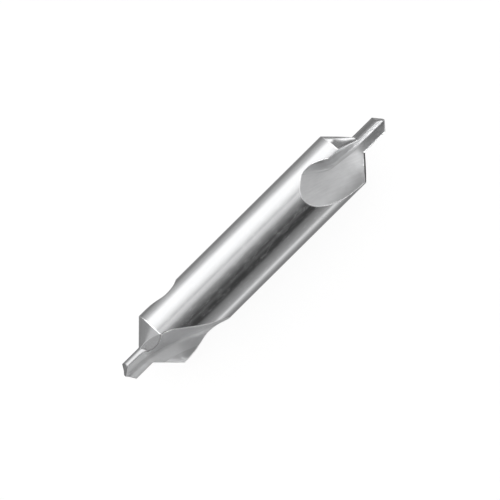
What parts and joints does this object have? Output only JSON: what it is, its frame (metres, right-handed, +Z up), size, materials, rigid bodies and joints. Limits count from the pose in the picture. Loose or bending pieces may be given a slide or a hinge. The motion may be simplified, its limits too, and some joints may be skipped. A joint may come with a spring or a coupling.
{
  "type": "double-ended centre drill",
  "caption": "Ground steel centre drill with a plain round shank and, at each end, a short pilot drill, a 90 degree countersink cone and a pair of right-hand flutes that run out on the shank.",
  "frame": {"origin": "on the drill's axis, halfway between the two points", "axes": "+X along the axis towards the end with the longer pilot; +Z is up, the side seen with the drill lying down; +Y completes the frame"},
  "size_m": [0.056, 0.01, 0.01],
  "materials": {
    "tool_steel": "ground and bright"
  },
  "bodies": {
    "root": {"centre_drill": "tool_steel"}
  },
  "joints": []
}
